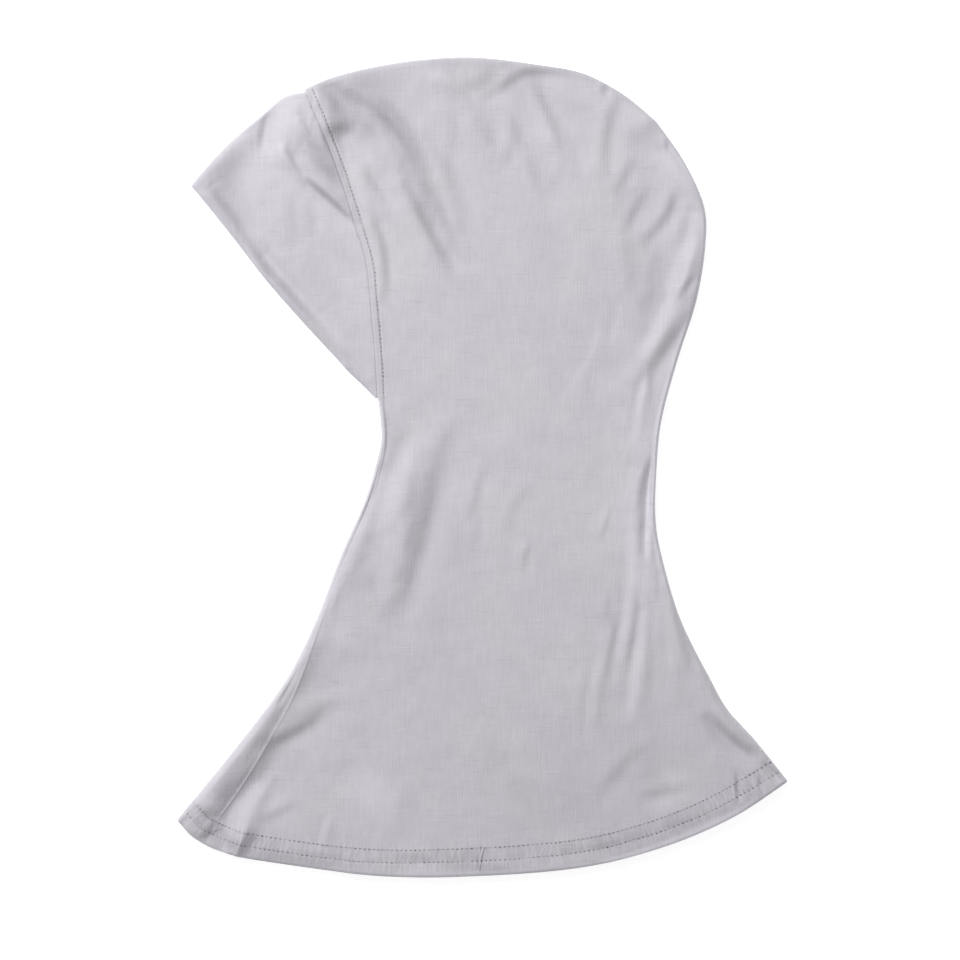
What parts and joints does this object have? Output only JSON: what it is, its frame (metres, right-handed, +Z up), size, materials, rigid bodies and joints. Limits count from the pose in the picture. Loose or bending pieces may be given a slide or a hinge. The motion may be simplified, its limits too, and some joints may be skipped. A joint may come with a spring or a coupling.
{
  "type": "hijab underscarf cap",
  "caption": "soft jersey hood worn under a scarf, laid flat on its side, with a wide forehead band that tapers to the chin, a narrow neck and a flared hemmed base",
  "frame": {"origin": "middle of the flat cap's box, on the surface it lies on", "axes": "+Z up off the surface, +Y from the hem to the crown, +X from the face to the back of the head; the wearer's left side is up"},
  "size_m": [0.324, 0.4352, 0.0116],
  "materials": {
    "left_panel": "pale lilac grey fine rib jersey",
    "right_panel": "pale lilac grey fine rib jersey",
    "face_band": "pale lilac grey jersey, doubled",
    "hem_band": "pale lilac grey jersey, doubled and twin-needle stitched"
  },
  "bodies": {
    "root": {"left_panel": "left_panel", "right_panel": "right_panel", "face_band": "face_band", "hem_band": "hem_band"}
  },
  "joints": []
}
